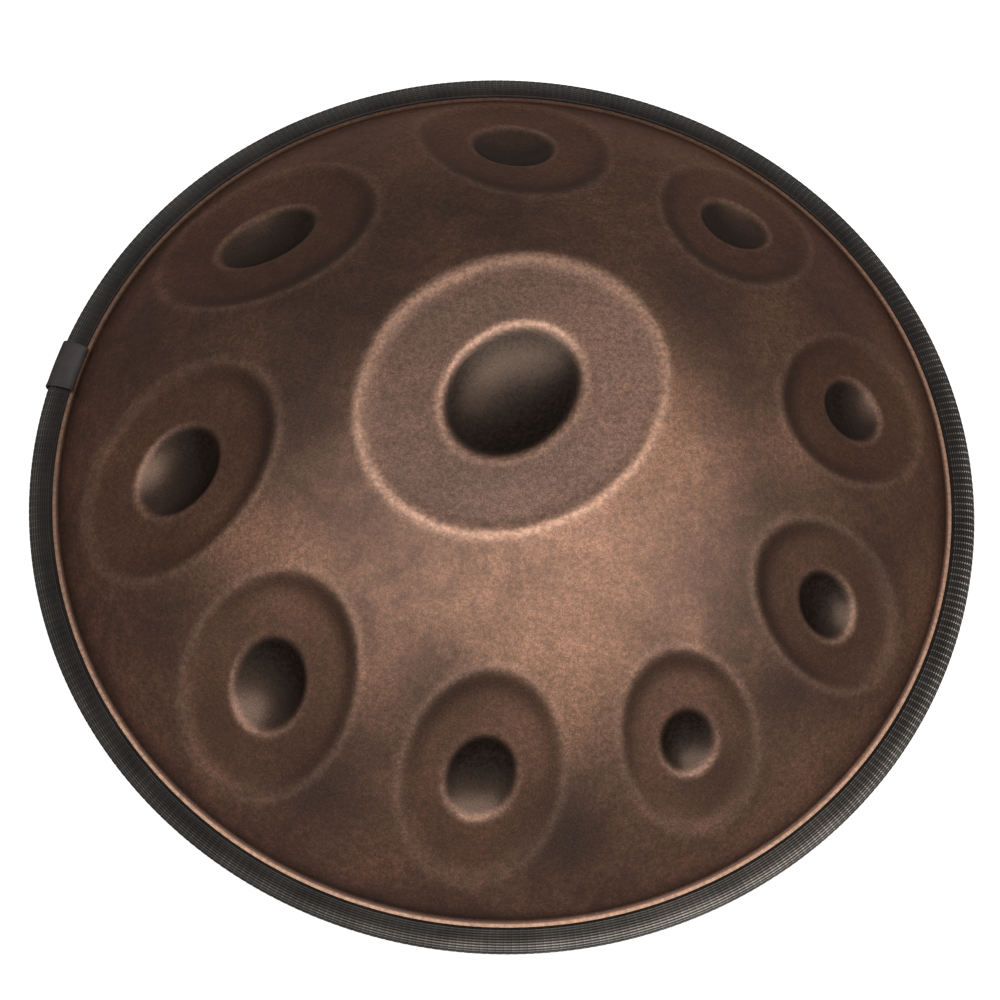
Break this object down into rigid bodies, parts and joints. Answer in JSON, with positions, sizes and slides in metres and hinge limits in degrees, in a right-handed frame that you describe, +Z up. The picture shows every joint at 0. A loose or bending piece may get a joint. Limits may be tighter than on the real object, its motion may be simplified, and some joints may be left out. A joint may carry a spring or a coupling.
{
  "type": "handpan",
  "caption": "Steel handpan: domed shells glued flange to flange, with a central ding, a ring of hammered tone fields, a bottom port and a ribbed rubber edge trim.",
  "frame": {"origin": "on the instrument's axis, in the plane of the flat land round the bottom port that it rests on", "axes": "+Z up through the ding; -Y towards the player, with the smallest tone field to the player's right"},
  "size_m": [0.563, 0.5629, 0.2183],
  "materials": {
    "upper_steel": "heat-tinted copper-brown nitrided steel, satin, with burnished ridges",
    "lower_steel": "heat-tinted copper-brown nitrided steel, satin",
    "adhesive": "cured dark brown epoxy",
    "trim_rubber": "black extruded rubber with ribs along it and grooves across it",
    "core_steel": "plain folded spring steel",
    "clip_rubber": "smooth charcoal rubber"
  },
  "bodies": {
    "root": {"ding_shell": "upper_steel", "gu_shell": "lower_steel", "flange_adhesive": "adhesive", "rim_trim": "trim_rubber", "trim_core": "core_steel", "trim_joint_clip": "clip_rubber"}
  },
  "joints": []
}
